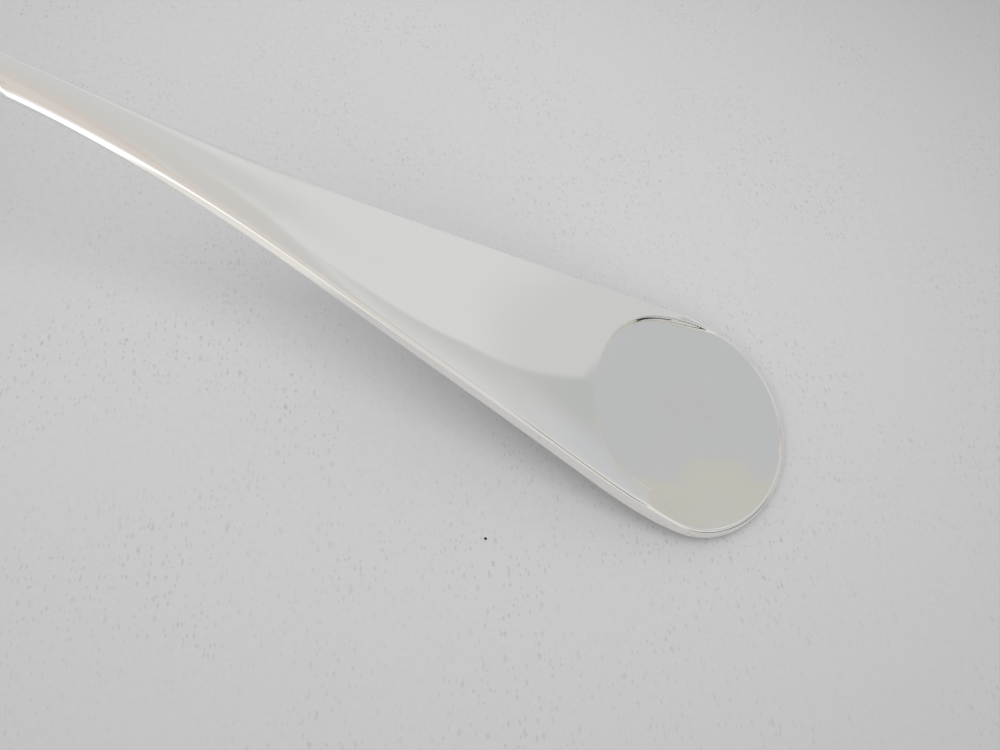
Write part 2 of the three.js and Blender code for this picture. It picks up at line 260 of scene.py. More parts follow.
def outline(s):
    """Outline's point at station s, moved in by the edge's rounding, and the way out."""
    width = half_width(s)
    if s < FINE_STEP:
        return s + EDGE_ROUND, width, -1.0, 0.0
    ahead = min(s + FINE_STEP, handle_length)
    slope = (half_width(ahead) - half_width(s - FINE_STEP)) / (ahead - s + FINE_STEP)
    length = math.hypot(1, slope)
    out_s, out_y = -slope / length, 1 / length
    return s - EDGE_ROUND * out_s, max(width - EDGE_ROUND * out_y, 0), out_s, out_y


scarf_from = handle_length - SCARF_LENGTH
edge_thickness = spline([
    (0, LOBE_EDGE), (DISC_LENGTH, LOBE_EDGE), (FLARE_AT, FLARE_EDGE), (STEM_AT, STEM_EDGE),
    (scarf_from, STEM_EDGE), (handle_length, SCARF_THICK),
], 0, 0)
mid_thickness = spline([
    (0, LOBE_THICK), (DISC_LENGTH, LOBE_THICK), (FLARE_AT, FLARE_THICK), (STEM_AT, STEM_THICK),
    (scarf_from, STEM_THICK), (handle_length, SCARF_THICK),
], 0, 0)


def stem_top(s, u):
    """Height of the crowned upper face at share u."""
    edge = edge_thickness(s)
    crown = (mid_thickness(s) - edge) * CROWN_ABOVE
    raised = DISC_DEPTH * (1 - np.clip((s - DISC_CORNER_AT) / DEPTH_FADE, 0, 1)) ** 2
    return edge / 2 + crown * (1 - u * u) + raised


def handle_bottom(s, u):
    """Height of the underside at share u."""
    edge = edge_thickness(s)
    crown = (mid_thickness(s) - edge) * (1 - CROWN_ABOVE)
    return -(edge / 2 + crown * (1 - u * u))


def bow(u):
    """Bow of the crease, and of the mesh rows that follow it: 0 in the middle, 1 at the edges."""
    return 0.5 * u * u + 0.5 * u ** 4


def bow_slope(u):
    return np.abs(u) + 2 * np.abs(u) ** 3


def edge_distance(s, y):
    """Distance from the handle's outline, measured in its surface."""
    in_tip = s < LOBE_WIDEST_AT
    along = np.where(in_tip, LOBE_WIDEST_AT - s, 0)
    half = LOBE_WIDTH / 2
    size = np.sqrt((along / LOBE_WIDEST_AT) ** 2 + (y / half) ** 2) + TINY
    steep = np.hypot(along / LOBE_WIDEST_AT ** 2, y / half ** 2) / size + TINY
    behind = np.maximum(s, LOBE_WIDEST_AT)
    ahead = np.minimum(behind + FLANK_STEP, handle_length)
    slope = (flank(ahead) - flank(behind)) / FLANK_STEP
    from_flank = (flank(behind) - np.abs(y)) / np.hypot(1, slope)
    return np.where(in_tip, (1 - size) / steep, from_flank)


def handle_top(s, u, inset_y):
    """Height of the upper face: sunk floor inside crease and rim, the stem's face outside them."""
    y = u * inset_y
    stem = stem_top(s, u)
    floor = LOBE_EDGE / 2 - DISC_DISH * (1 - u * u) * smooth(s / DISC_LENGTH)
    lean = CREASE_BOW * bow_slope(u) / (SHOULDER_WIDTH / 2)
    past_crease = (s - (DISC_LENGTH - CREASE_BOW * bow(u))) / np.hypot(1, lean)
    far = smooth(y / SIDE_BLEND + 0.5)
    grown = smooth((s - MARGIN_FROM) / (DISC_CORNER_AT - MARGIN_FROM))
    margin = lerp(RIM_WIDTH, lerp(NEAR_MARGIN, FAR_MARGIN, far), grown)
    past_margin = margin - edge_distance(s, y)
    near = np.maximum(CORNER_ROUND - np.abs(past_crease - past_margin), 0) / CORNER_ROUND
    outside = np.maximum(past_crease, past_margin) + near * near * CORNER_ROUND / 4
    share = smooth(outside / WALL_RUN + 0.5)
    rim_share = lerp(NEAR_RIM_SHARE, FAR_RIM_SHARE, far)
    rise_from = lerp(NEAR_RISE_FROM, FAR_RISE_FROM, far)
    rise_run = lerp(NEAR_RISE_RUN, FAR_RISE_RUN, far)
    rise = lerp(rim_share, 1, smooth((s - rise_from) / rise_run))
    return floor + share * rise * (stem - floor)


def even_dense(count_mid, count_edge, split):
    """Shares from -1 to 1, denser near both ends."""
    mid = np.linspace(-split, split, count_mid + 1)
    end = np.linspace(split, 1, count_edge + 1)[1:]
    return np.concatenate([-end[::-1], mid, end])


TOP_SHARES = even_dense(TOP_MIDDLE_COLUMNS, TOP_SIDE_COLUMNS, TOP_SPLIT)
BOTTOM_SHARES = np.linspace(1, -1, BOTTOM_COLUMNS + 1)
BY_EDGE = 0.98
TILTED_FROM = 1.5


def edge_arc(height, tilt, sign):
    """Quarter round of the edge as (distance out, height) pairs; sign is 1 above and -1 below."""
    radius = EDGE_ROUND / (1 - math.sin(tilt))
    angles = np.linspace(tilt, math.pi / 2, ARC_STEPS + 1)[1:]
    out = radius * (np.sin(angles) - math.sin(tilt))
    drop = radius * (math.cos(tilt) - np.cos(angles))
    return [(o, height - sign * d) for o, d in zip(out, drop)]


def handle_row(middle, edge_at):
    """Closed loop around the handle, from station middle on its middle to edge_at on its outline."""
    inset_s, inset_y, out_s, out_y = outline(edge_at)
    s = middle + (inset_s - middle) * bow(TOP_SHARES)
    top = handle_top(s, TOP_SHARES, inset_y)
    upper = on_handle(s, TOP_SHARES * inset_y, top)
    s = middle + (inset_s - middle) * bow(BOTTOM_SHARES)
    bottom = handle_bottom(s, BOTTOM_SHARES)
    lower = on_handle(s, BOTTOM_SHARES * inset_y, bottom)
    span = max((1 - BY_EDGE) * inset_y, 1e-6)
    fall_top = (stem_top(inset_s, BY_EDGE) - stem_top(inset_s, 1.0)) / span * out_y
    fall_low = (handle_bottom(inset_s, 1.0) - handle_bottom(inset_s, BY_EDGE)) / span * out_y
    tilted = 1 if inset_y > TILTED_FROM else 0
    above = edge_arc(top[-1], tilted * math.atan(float(fall_top)), 1)
    below = edge_arc(bottom[0], tilted * math.atan(float(fall_low)), -1)
    profile = above + [(EDGE_ROUND, (above[-1][1] + below[-1][1]) / 2)] + below[::-1]
    out = np.array([p[0] for p in profile])
    height = np.array([p[1] for p in profile])
    rim_s = inset_s + out * out_s
    rim_y = inset_y + out * out_y
    right = on_handle(rim_s, rim_y, height)
    left = on_handle(rim_s, -rim_y, height)[::-1]
    return np.concatenate([upper, right, lower, left])


def loft(rows):
    """Body through rows that are closed loops of as many points each, capped at its last row."""
    count = len(rows[0])
    points = np.concatenate(rows)
    faces = []
    for r in range(len(rows) - 1):
        for c in range(count):
            d = (c + 1) % count
            low, high = r * count, (r + 1) * count
            faces.append((low + c, low + d, high + d, high + c))
    faces.append(tuple((len(rows) - 1) * count + c for c in range(count)))
    return points, faces


def piece(name, rows, replaced, material, both_caps=False):
    """Smooth closed mesh through the rows. It takes the place of a CAD node where one is named."""
    points, faces = loft(rows)
    if both_caps:
        faces.append(tuple(range(len(rows[0])))[::-1])
    mesh = bpy.data.meshes.new(name)
    mesh.from_pydata((points * MM).tolist(), [], faces)
    bm = bmesh.new()
    bm.from_mesh(mesh)
    bmesh.ops.remove_doubles(bm, verts=bm.verts, dist=1e-6)
    bmesh.ops.recalc_face_normals(bm, faces=bm.faces)
    bm.to_mesh(mesh)
    bm.free()
    mesh.polygons.foreach_set("use_smooth", [True] * len(mesh.polygons))
    obj = bpy.data.objects.new(name, mesh)
    bpy.context.scene.collection.objects.link(obj)
    mesh.materials.append(material)
    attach(obj, "root")
    if replaced:
        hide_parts(replaced)


# Materials
def nodes_of(material):
    material.use_nodes = True
    tree = material.node_tree
    tree.nodes.clear()
    return tree


class Tree:
    """Short calls for building a node tree."""

    def __init__(self, tree):
        self.tree = tree

    def node(self, kind, inputs=(), **settings):
        made = self.tree.nodes.new(kind)
        for key, value in settings.items():
            setattr(made, key, value)
        for key, value in dict(inputs).items():
            if isinstance(value, bpy.types.NodeSocket):
                self.tree.links.new(value, made.inputs[key])
            else:
                made.inputs[key].default_value = value
        return made

    def math(self, operation, a, b=0.0, clamp=False):
        made = self.node("ShaderNodeMath", {0: a, 1: b}, operation=operation, use_clamp=clamp)
        return made.outputs[0]

    def ramp(self, value, low, high, to_low=0.0, to_high=1.0):
        inputs = {0: value, 1: low, 2: high, 3: to_low, 4: to_high}
        return self.node("ShaderNodeMapRange", inputs, interpolation_type="SMOOTHSTEP").outputs[0]

    def mix(self, share, a, b):
        made = self.node("ShaderNodeMix", data_type="RGBA")
        for socket, value in ((made.inputs[0], share), (made.inputs[6], a), (made.inputs[7], b)):
            if isinstance(value, bpy.types.NodeSocket):
                self.tree.links.new(value, socket)
            else:
                socket.default_value = value
        return made.outputs[2]

    def noise(self, vector, scale, detail=2.0, roughness=0.5):
        inputs = {"Vector": vector, "Scale": scale, "Detail": detail, "Roughness": roughness}
        return self.node("ShaderNodeTexNoise", inputs).outputs["Fac"]

    def line(self, value, low, high, to_low, to_high):
        inputs = {0: value, 1: low, 2: high, 3: to_low, 4: to_high}
        return self.node("ShaderNodeMapRange", inputs).outputs[0]

    def zone(self, colour, tone, *borders):
        """Colour, changed to tone inside its borders: each a value with start and end of the fade."""
        share = self.ramp(*borders[0])
        for border in borders[1:]:
            share = self.math("MULTIPLY", share, self.ramp(*border))
        return self.mix(share, colour, tone)

    def stretched(self, vector, scale):
        return self.node("ShaderNodeMapping", {"Vector": vector, "Scale": scale}).outputs[0]

    def distance(self, vector, centre):
        made = self.node("ShaderNodeVectorMath", {0: vector, 1: centre}, operation="DISTANCE")
        return made.outputs["Value"]

    def slanted(self, rise, across, slope):
        return self.math("SUBTRACT", rise, self.math("MULTIPLY", across, slope))

    def bump(self, height, distance, **inputs):
        made = self.node("ShaderNodeBump", {"Height": height, "Distance": distance, **inputs})
        return made.outputs[0]

    def glow(self, colour):
        return self.node("ShaderNodeEmission", {"Color": colour, "Strength": 1.0}).outputs[0]

    def sky(self, colour, strength=1.0):
        return self.node("ShaderNodeBackground", {"Color": colour, "Strength": strength}).outputs[0]

    def either(self, share, a, b):
        return self.node("ShaderNodeMixShader", {0: share, 1: a, 2: b}).outputs[0]


# Silver: noise scales per metre, stretched along the handle for hair lines and across it for nicks
CLOUD_SCALE = 55
PATCH_BLUR = 0.16
FILM_SCALE = 900
HAIR_STRETCH = (180, 9000, 9000)
HAIR_ROUGH = 0.05
HAIR_DEPTH = 2.5e-7
NICK_STRETCH = (7000, 420, 7000)
NICK_SHARE = 0.10
NICK_TONE = (0.62, 0.61, 0.58, 1)
STAIN_ROUGH = 0.06
LEAST_ROUGH = 0.75
MOST_ROUGH = 1.3
WAVE_SCALE = 90
WAVE_DEPTH = 6e-6


def silver(name, tone, tarnish, roughness, tarnish_from):
    """Polished silver with patches of tarnish, fine hair lines and nicks, and a faint planish."""
    material = bpy.data.materials.new(name)
    t = Tree(nodes_of(material))
    place = t.node("ShaderNodeTexCoord").outputs["Object"]
    cloud = t.noise(place, CLOUD_SCALE, 4, 0.6)
    patch = t.ramp(cloud, tarnish_from, tarnish_from + PATCH_BLUR)
    film = t.ramp(t.noise(place, FILM_SCALE, 3, 0.6), 0.35, 0.75)
    half_film = t.node("ShaderNodeMath", {0: film, 1: 0.5, 2: 0.5}, operation="MULTIPLY_ADD")
    stain = t.math("MULTIPLY", patch, half_film.outputs[0], True)
    colour = t.mix(stain, tone, tarnish)
    streaks = t.noise(t.stretched(place, HAIR_STRETCH), 1, 3, 0.7)
    cross = t.noise(t.stretched(place, NICK_STRETCH), 1, 2, 0.6)
    hair = t.ramp(streaks, 0.66, 0.8)
    nick = t.ramp(cross, 0.72, 0.84)
    colour = t.mix(t.math("MULTIPLY", nick, NICK_SHARE), colour, NICK_TONE)
    rough = t.line(cloud, 0.3, 0.7, roughness * LEAST_ROUGH, roughness * MOST_ROUGH)
    rough = t.math("ADD", rough, t.math("MULTIPLY", hair, HAIR_ROUGH))
    rough = t.math("ADD", rough, t.math("MULTIPLY", stain, STAIN_ROUGH))
    planish = t.bump(t.noise(place, WAVE_SCALE, 1, 0.4), WAVE_DEPTH, Strength=1.0)
    normal = t.bump(streaks, HAIR_DEPTH, Strength=1.0, Normal=planish)
    shader = t.node("ShaderNodeBsdfPrincipled", {
        "Base Color": colour, "Roughness": rough, "Metallic": 1.0, "Normal": normal,
    })
    t.node("ShaderNodeOutputMaterial", {"Surface": shader.outputs[0]})
    return material


handle_silver = silver(
    "handle_silver", (0.93, 0.925, 0.90, 1), (0.895, 0.878, 0.825, 1), 0.06, 0.50)
blade_silver = silver(
    "blade_silver", (0.92, 0.915, 0.89, 1), (0.86, 0.83, 0.75, 1), 0.09, 0.50)
drop_silver = silver(
    "drop_silver", (0.88, 0.875, 0.85, 1), (0.80, 0.76, 0.67, 1), 0.12, 0.48)


# Handle
rows = [handle_row(EDGE_ROUND, 0.0)]
crease_rows = DISC_LENGTH - CREASE_ROWS_BEFORE
for share in np.linspace(0, 1, DISC_ROWS + 1)[1:]:
    middle = lerp(EDGE_ROUND, DISC_LENGTH, share * crease_rows / DISC_LENGTH)
    t = (middle - EDGE_ROUND) / (DISC_LENGTH - EDGE_ROUND)
    rows.append(handle_row(middle, DISC_CORNER_AT * t * t))
crease_end = DISC_LENGTH + CREASE_ROWS_BEYOND
for middle in np.arange(middle + CREASE_ROW_STEP, crease_end, CREASE_ROW_STEP):
    t = min((middle - EDGE_ROUND) / (DISC_LENGTH - EDGE_ROUND), 1)
    on_disc = DISC_CORNER_AT * t * t
    beyond = max(middle - DISC_LENGTH, 0)
    rows.append(handle_row(middle, on_disc + beyond * EDGE_PACE))
first_stem = middle
first_edge = DISC_CORNER_AT + (first_stem - DISC_LENGTH) * EDGE_PACE
lag = first_stem - first_edge
for share in np.linspace(0, 1, STEM_ROWS + 1)[1:]:
    middle = lerp(first_stem, handle_length, share)
    behind = lag * (1 - smooth((middle - first_stem) / CREASE_BOW_FADE))
    rows.append(handle_row(middle, middle - behind))
piece("handle_fine", rows, "handle", handle_silver)


# Blade; a is the distance from its nose
heel_slope = -float(side_height(HANDLE_RUN) - side_height(HANDLE_RUN - 1))
heel_cos = 1 / math.hypot(1, heel_slope)
heel_sin = heel_slope * heel_cos
heel_x = TIP_X - HANDLE_RUN - JOINT_GAP * heel_cos + BLADE_WALL / 2 * heel_sin
heel_z = float(side_height(HANDLE_RUN)) - JOINT_GAP * heel_sin - BLADE_WALL / 2 * heel_cos
nose_x = heel_x - BLADE_LENGTH
heel_from = BLADE_LENGTH - HEEL_LENGTH
flat_half = BLADE_FLAT / 2
arc_length = (BLADE_WIDTH / 2 - flat_half + BLADE_DEPTH) / 2 * math.pi / 2
flat_share = flat_half / (flat_half + arc_length)


def blade_section(a):
    """Bottom, depth and half width of the outer face."""
    t = np.clip((a - heel_from) / HEEL_LENGTH, 0, 1)
    bottom = heel_z * t * t * (3 - 2 * t) - heel_slope * HEEL_LENGTH * t * t * (1 - t)
    dish = HEEL_DISH * (1 - smooth((a - BLADE_LENGTH + END_BLEND) / END_BLEND))
    depth = lerp(BLADE_DEPTH, dish, smooth(t))
    half = lerp(BLADE_WIDTH / 2, HEEL_WIDTH / 2, smooth(t ** SHOULDER_FULLNESS))
    return bottom, depth, half


def blade_outer(a, share):
    bottom, depth, half = blade_section(a)
    size = np.abs(share)
    angle = np.maximum(size - flat_share, 0) / (1 - flat_share) * BLADE_ARC
    flat_part = np.minimum(size / flat_share, 1) * flat_half
    y = flat_part + (half - flat_half) * np.sin(angle) / math.sin(BLADE_ARC)
    z = bottom + depth * (1 - np.cos(angle)) / (1 - math.cos(BLADE_ARC))
    x = nose_x + a + 0 * size
    return np.stack([x, np.sign(share) * y, z], -1)


def unit(v):
    return v / np.linalg.norm(v, axis=-1, keepdims=True)


def blade_outward(a, share):
    low, high = max(a - FINE_STEP, 0), min(a + FINE_STEP, BLADE_LENGTH)
    along = blade_outer(high, share) - blade_outer(low, share)
    across = blade_outer(a, share + FINE_STEP) - blade_outer(a, share - FINE_STEP)
    return unit(np.cross(across, along))


def nose_share(a):
    """Share that the blade's rounded nose reaches."""
    left = 1 - a / NOSE_LENGTH
    return 1.0 if a >= NOSE_LENGTH else math.sqrt(max(1 - left * left, 0))


def rim_direction(a, share, sign):
    """Way out of the sheet at its rim."""
    if share == 0:
        return np.array([-1.0, 0, 0])
    low, high = max(a - RIM_STEP, 0), min(a + RIM_STEP, BLADE_LENGTH)
    ahead = blade_outer(high, np.array(sign * nose_share(high)))
    behind = blade_outer(low, np.array(sign * nose_share(low)))
    outward = blade_outward(a, np.array(sign * share))
    return unit(np.cross(ahead - behind, outward)) * sign


BLADE_SHARES = np.linspace(-1, 1, BLADE_COLUMNS + 1)


def blade_row(a, rim_share):
    """Closed loop around the sheet: outer face, rim, inner face, rim."""
    share = BLADE_SHARES * rim_share
    outer = blade_outer(a, share)
    outward = blade_outward(a, share)
    wall = lerp(BLADE_WALL, SCARF_THICK, smooth((a - BLADE_LENGTH + END_BLEND) / END_BLEND))
    inner = outer - outward * wall
    angles = np.linspace(-math.pi / 2, math.pi / 2, RIM_STEPS + 1)[1:-1]
    rims = []
    for end, sign in ((-1, 1), (0, -1)):
        centre = (outer[end] + inner[end]) / 2
        up = (inner[end] - outer[end]) / 2
        out = rim_direction(a, rim_share, sign) * RIM_REACH
        rims.append(np.array([centre + up * math.sin(q) + out * math.cos(q) for q in angles]))
    return np.concatenate([outer, rims[0], inner[::-1], rims[1][::-1]])


rows = [blade_row(0.0, 0.0)]
for k in range(1, NOSE_ROWS + 1):
    a = NOSE_LENGTH * (1 - math.cos(math.pi / 2 * k / NOSE_ROWS))
    rows.append(blade_row(a, nose_share(a)))
for a in np.linspace(NOSE_LENGTH, heel_from, TROUGH_ROWS + 1)[1:]:
    rows.append(blade_row(a, 1.0))
for a in np.linspace(heel_from, BLADE_LENGTH, HEEL_ROWS + 1)[1:]:
    rows.append(blade_row(a, 1.0))
piece("blade_fine", rows, "scoop_blade", blade_silver)


# Solder seam: a slim band, dressed nearly flush, that closes the joint between handle and blade
def seam_loop(along, proud):
    """Loop around the joint, along its slope from the handle's end and proud of its faces."""
    x = TIP_X - HANDLE_RUN - along * heel_cos
    z = float(side_height(HANDLE_RUN)) - along * heel_sin
    half = HEEL_WIDTH / 2 + proud
    thick = SCARF_THICK / 2 + proud
    loop = []
    for angle in np.linspace(0, 2 * math.pi, SEAM_COLUMNS + 1)[:-1]:
        c, s = math.cos(angle), math.sin(angle)
        y = half * math.copysign(abs(c) ** SEAM_SIDE_POWER, c)
        h = thick * math.copysign(abs(s) ** SEAM_TOP_POWER, s)
        loop.append((x + h * heel_sin, y, z + h * heel_cos))
    return np.array(loop)


rows = []
for q in np.linspace(-1, 1, SEAM_ROWS + 1):
    along = JOINT_GAP / 2 + q * SEAM_HALF_LENGTH
    rows.append(seam_loop(along, SEAM_PROUD * (1 - q * q) - SEAM_SUNK))
piece("solder_seam", rows, None, drop_silver, True)


# Heel drop, with the solder fillet along its foot
def host_underside(l, y):
    """Point of the underside at l from the joint (blade side negative) and y, and the way down."""
    if l <= 0:
        a = BLADE_LENGTH + l
        bottom, depth, half = blade_section(a)
        rise = bottom - blade_section(a - SLOPE_STEP)[0]
        length = math.hypot(rise, SLOPE_STEP)
        over = np.clip((np.abs(y) - flat_half) / (half - flat_half), 0, 1)
        cosine = np.sqrt(1 - (over * math.sin(BLADE_ARC)) ** 2)
        z = bottom + depth * (1 - cosine) / (1 - math.cos(BLADE_ARC))
        point = np.stack([nose_x + a + 0 * y, y, z], -1)
        return point, np.array([rise / length, 0, -SLOPE_STEP / length])
    s = handle_length - max(l - JOINT_GAP, 0)
    x, z, nx, nz = side_frame(s)
    u = np.clip(np.abs(y) / half_width(s), 0, 1)
    return on_handle(s, y, handle_bottom(s, u)), np.array([nx, 0, -nz])


DROP_SHARES = np.linspace(-1, 1, DROP_COLUMNS + 1)


def drop_row(t):
    """Closed loop around the drop at t of its length: lower face, then the face in its host."""
    l = -DROP_ON_BLADE + (DROP_ON_BLADE + DROP_ON_STEM) * t
    half = DROP_WIDTH / 2 * math.sqrt(max(1 - (1 - t) ** 4, 0))
    half -= (DROP_WIDTH - DROP_END_WIDTH) / 2 * t ** 5
    thick = DROP_GAP + lerp(DROP_TIP_THICK, DROP_THICK, math.sin(math.pi * t) ** 2)
    thick *= smooth(t / DROP_TIP_SHARE) * smooth((1 - t) / DROP_END_SHARE)
    reach = half + DROP_SKIRT
    across = DROP_SHARES * reach
    off = np.minimum(np.abs(across) / max(half, FLANK_STEP), 1.0)
    body = 1 - DROP_CROWN * off ** DROP_CROWN_POWER
    skirt = smooth((reach - np.abs(across)) / DROP_SKIRT_RUN)
    point, down = host_underside(l, across)
    lower = point + down * (thick * body * skirt - DROP_FOOT_SUNK)[:, None]
    upper = point - down * DROP_TOP_SUNK
    return np.concatenate([lower, upper[::-1]])


rows = [drop_row(q) for q in np.linspace(0, 1, DROP_ROWS + 1) ** DROP_ROW_POWER]
piece("heel_drop_fine", rows, "heel_drop", drop_silver, True)


# Floor: white paper with dark flecks and one black dot, and a painted pool of light: its colour
# darkens away from the lit centre.
# Lengths here are in metres.
BACKDROP = (0.64, 0.64, 0.648, 1)
FLOOR_HALF = 2.5
FLOOR_Z = -2e-5
PAPER_TONE = (0.591, 0.591, 0.605, 1)
PAPER_CLOUD = (0.612, 0.608, 0.612, 1)
PAPER_FIBRE = (0.648, 0.643, 0.648, 1)
# Painted pool of light: the paper's dim tone far off, the lit centre and the range of the fall-off
PAPER_PAINTED_DIM = (0.366, 0.365, 0.373, 1)
PAINTED_POOL_CENTRE = (0.072, 0.035, 0)
PAINTED_POOL_FALL_OFF = (0.02, 0.15)
MIRRORED_AS_BACKDROP = (0.05, 0.10)
SEEN_AS_BACKDROP = (0.26, 0.90)
GRAIN_TURN = -0.32
FLECK_TONE = (0.30, 0.30, 0.31, 1)
FLECK_STRENGTH = 0.34
FLECK_BEND = 0.45
LEAST_FLECK = 0.03
# Cells per metre, added size, and the share of cells without a fleck
FLECKS = (((1150, 480, 1), 0.18, 0.42), ((2300, 1100, 1), 0.30, 0.48))
DOT_PLACE = (0.08959, -0.01668, 0)
DOT_EDGE = (1.7e-4, 1.1e-4)
DOT_TONE = (0.02, 0.02, 0.02, 1)


def paper():
    material = bpy.data.materials.new("paper")
    t = Tree(nodes_of(material))
    place = t.node("ShaderNodeTexCoord").outputs["Object"]
    broad = t.ramp(t.noise(place, 14, 3, 0.5), 0.3, 0.7)
    colour = t.mix(broad, PAPER_TONE, PAPER_CLOUD)
    mottle = t.noise(place, 1400, 3, 0.65)
    colour = t.mix(t.ramp(mottle, 0.3, 0.7, 0.0, 0.5), colour, PAPER_FIBRE)
    reach = t.distance(place, PAINTED_POOL_CENTRE)
    # Painted pool of light: the paper's colour dims with distance from the lit centre
    colour = t.mix(t.ramp(reach, *PAINTED_POOL_FALL_OFF), colour, PAPER_PAINTED_DIM)
    turn = {"Vector": place, "Rotation": (0, 0, GRAIN_TURN)}
    grain = t.node("ShaderNodeMapping", turn).outputs[0]
    where = t.ramp(t.noise(place, 60, 3, 0.6), 0.36, 0.68, 0.15, 1.0)
    ragged = {"Vector": grain, "Scale": 2400.0, "Detail": 1.0}
    bent = t.node("ShaderNodeTexNoise", ragged).outputs["Color"]
    shaken = t.node("ShaderNodeVectorMath", {0: bent, 3: FLECK_BEND}, operation="SCALE").outputs[0]
    for stretch, size, empty in FLECKS:
        cells = {0: t.stretched(grain, stretch), 1: shaken}
        at = t.node("ShaderNodeVectorMath", cells, operation="ADD").outputs[0]
        made = t.node("ShaderNodeTexVoronoi", {"Vector": at, "Scale": 1.0}, voronoi_dimensions="2D")
        cell = made.outputs
        chance = t.node("ShaderNodeSeparateColor", {0: cell["Color"]}).outputs
        size_here = t.math("ADD", t.math("MULTIPLY", chance[1], size), LEAST_FLECK)
        off = t.math("DIVIDE", cell["Distance"], size_here)
        mark = t.math("MULTIPLY", t.ramp(off, 1.0, 0.55), t.ramp(chance[0], empty, empty + 0.03))
        mark = t.math("MULTIPLY", t.math("MULTIPLY", mark, where), FLECK_STRENGTH)
        colour = t.mix(mark, colour, FLECK_TONE)
    dot = t.distance(place, DOT_PLACE)
    colour = t.mix(t.ramp(dot, *DOT_EDGE), colour, DOT_TONE)
    shader = t.node("ShaderNodeBsdfPrincipled", {
        "Base Color": colour, "Roughness": 0.85, "Normal": t.bump(mottle, 2e-5, Strength=0.6),
    })
    shader.inputs["Specular IOR Level"].default_value = 0
    path = t.node("ShaderNodeLightPath").outputs
    mirror = t.math("MAXIMUM", path["Is Glossy Ray"], path["Is Transmission Ray"])
    mirror = t.math("MULTIPLY", mirror, t.ramp(reach, *MIRRORED_AS_BACKDROP))
    far = t.math("MULTIPLY", path["Is Camera Ray"], t.ramp(reach, *SEEN_AS_BACKDROP))
    shown = t.either(t.math("MAXIMUM", mirror, far), shader.outputs[0], t.glow(BACKDROP))
    t.node("ShaderNodeOutputMaterial", {"Surface": shown})
    return material


def level(left, low, right, high, z):
    """Corners of a level rectangle."""
    return [(left, low, z), (right, low, z), (right, high, z), (left, high, z)]


floor_mesh = bpy.data.meshes.new("floor")
corners = level(-FLOOR_HALF, -FLOOR_HALF, FLOOR_HALF, FLOOR_HALF, FLOOR_Z)
floor_mesh.from_pydata(corners, [], [(0, 1, 2, 3)])
floor_mesh.materials.append(paper())
floor = bpy.data.objects.new("floor", floor_mesh)
bpy.context.scene.collection.objects.link(floor)


# Studio: even pale light. The metal sees the soft walls of the studio by direction: azimuth is
# turned from +X towards +Y, and both angles are in degrees.
SKY_LIGHT = (0.985, 0.99, 1.0, 1)
SKY_STRENGTH = 0.60
WALL = (0.622, 0.627, 0.63, 1)
WALL_WINDOW = (0.700, 0.706, 0.710, 1)
WALL_END = (0.56, 0.57, 0.57, 1)
FRONT = (0.655, 0.600, 0.565, 1)
FRONT_ABOVE = (0.625, 0.610, 0.600, 1)
FRONT_BELOW = (0.700, 0.655, 0.625, 1)
FRONT_CREAM = (0.750, 0.750, 0.720, 1)
FRONT_FOOT = (1.20, 1.19, 1.17, 1)
CEILING = (0.625, 0.615, 0.60, 1)
BACK = (0.20, 0.20, 0.20, 1)
LOW_BRIGHT = (0.96, 0.97, 1.0, 1)
LOW_DARK = (0.045, 0.05, 0.045, 1)
DEGREES = 180 / math.pi


def studio():
    world = bpy.data.worlds.new("studio")
    bpy.context.scene.world = world
    world.use_nodes = True
    tree = world.node_tree
    tree.nodes.clear()
    t = Tree(tree)
    way = t.node("ShaderNodeTexCoord").outputs["Generated"]
    part = t.node("ShaderNodeSeparateXYZ", {0: way}).outputs
    azimuth = t.math("MULTIPLY", t.math("ARCTAN2", part[1], part[0]), DEGREES)
    elevation = t.math("MULTIPLY", t.math("ARCSINE", part[2]), DEGREES)
    band = t.math("ADD", azimuth, elevation)
    turned = t.math("ABSOLUTE", azimuth)
    wall = t.zone(WALL, WALL_WINDOW, (band, 89, 97), (band, 124, 104))
    wall = t.zone(wall, WALL_END, (azimuth, 18, -10))
    front = t.zone(FRONT, FRONT_ABOVE, (elevation, 54, 64))
    front = t.zone(front, FRONT_BELOW, (elevation, 50, 40))
    front = t.zone(front, FRONT_CREAM, (azimuth, -92, -80), (elevation, 66, 58))
    front = t.zone(front, FRONT_FOOT, (elevation, 8, -4))
    colour = t.zone(wall, front, (part[1], 0.02, -0.30))
    colour = t.zone(colour, CEILING, (elevation, 70, 80))
    colour = t.zone(colour, BACK, (turned, 126, 152), (elevation, 64, 30))
    colour = t.zone(colour, LOW_BRIGHT, (elevation, 18, 8), (azimuth, 30, 37), (azimuth, 74, 62))
    colour = t.zone(colour, LOW_DARK, (elevation, 20, 10), (azimuth, 34, 27), (azimuth, -60, -44))
    path = t.node("ShaderNodeLightPath").outputs
    mirror = t.math("MAXIMUM", path["Is Glossy Ray"], path["Is Transmission Ray"])
    light = t.sky(SKY_LIGHT, SKY_STRENGTH)
    unmirrored = t.either(path["Is Camera Ray"], light, t.sky(BACKDROP))
    shown = t.either(mirror, unmirrored, t.sky(colour))
    t.node("ShaderNodeOutputWorld", {"Surface": shown})


studio()


